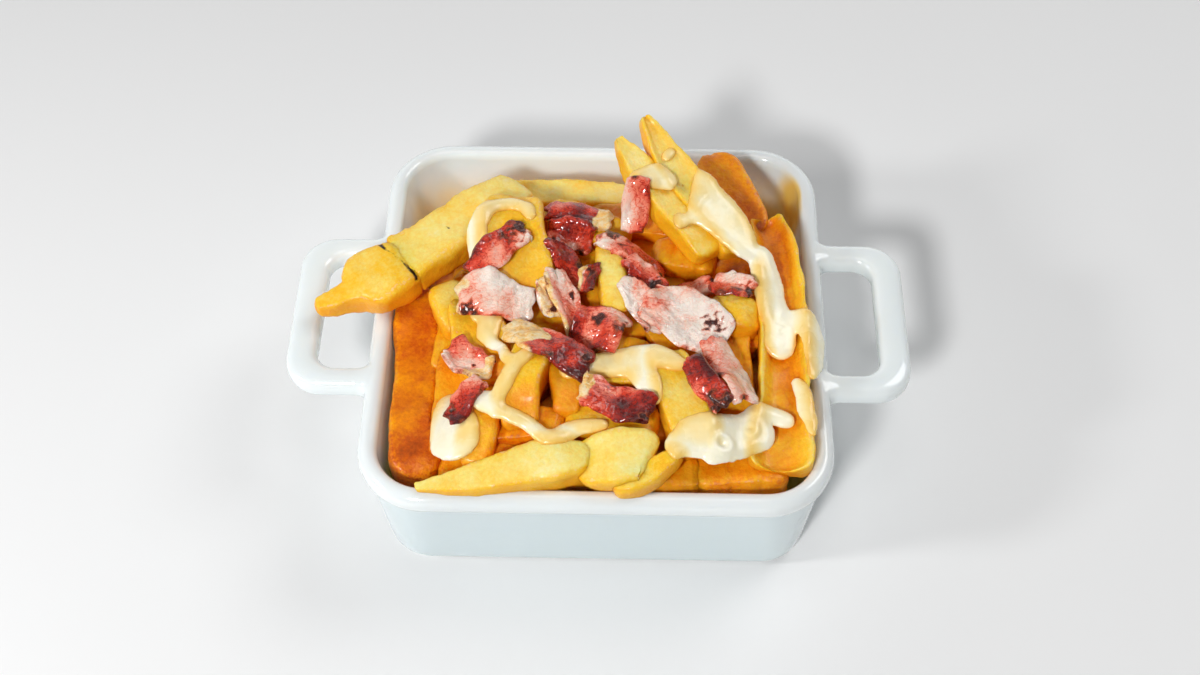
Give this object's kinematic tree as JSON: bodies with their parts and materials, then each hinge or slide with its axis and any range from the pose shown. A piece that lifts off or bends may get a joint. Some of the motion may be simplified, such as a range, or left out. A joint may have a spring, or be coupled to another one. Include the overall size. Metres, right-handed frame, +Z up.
{
  "type": "cheese fries",
  "caption": "Thick-cut fries heaped in a small square glazed dish with two loop handles, under cheese sauce and bacon.",
  "frame": {"origin": "middle of the dish's flat underside, on the surface that it stands on", "axes": "+X along the line of the two handles, -Y towards the eater, +Z up out of the dish"},
  "size_m": [0.1906, 0.14, 0.0743],
  "materials": {
    "white_glaze": "gloss",
    "fried_potato": "satin",
    "cheese_sauce": "gloss",
    "fried_bacon": "satin"
  },
  "bodies": {
    "root": {"dish": "white_glaze", "fries": "fried_potato", "bacon_01": "fried_bacon", "bacon_02": "fried_bacon", "bacon_03": "fried_bacon", "bacon_04": "fried_bacon", "bacon_05": "fried_bacon", "bacon_06": "fried_bacon", "bacon_07": "fried_bacon", "bacon_08": "fried_bacon", "bacon_09": "fried_bacon", "bacon_10": "fried_bacon", "bacon_11": "fried_bacon", "bacon_12": "fried_bacon", "bacon_13": "fried_bacon", "bacon_14": "fried_bacon", "bacon_15": "fried_bacon", "bacon_16": "fried_bacon", "bacon_17": "fried_bacon", "bacon_18": "fried_bacon", "bacon_19": "fried_bacon", "bacon_20": "fried_bacon", "bacon_21": "fried_bacon", "bacon_22": "fried_bacon"}
  },
  "joints": []
}
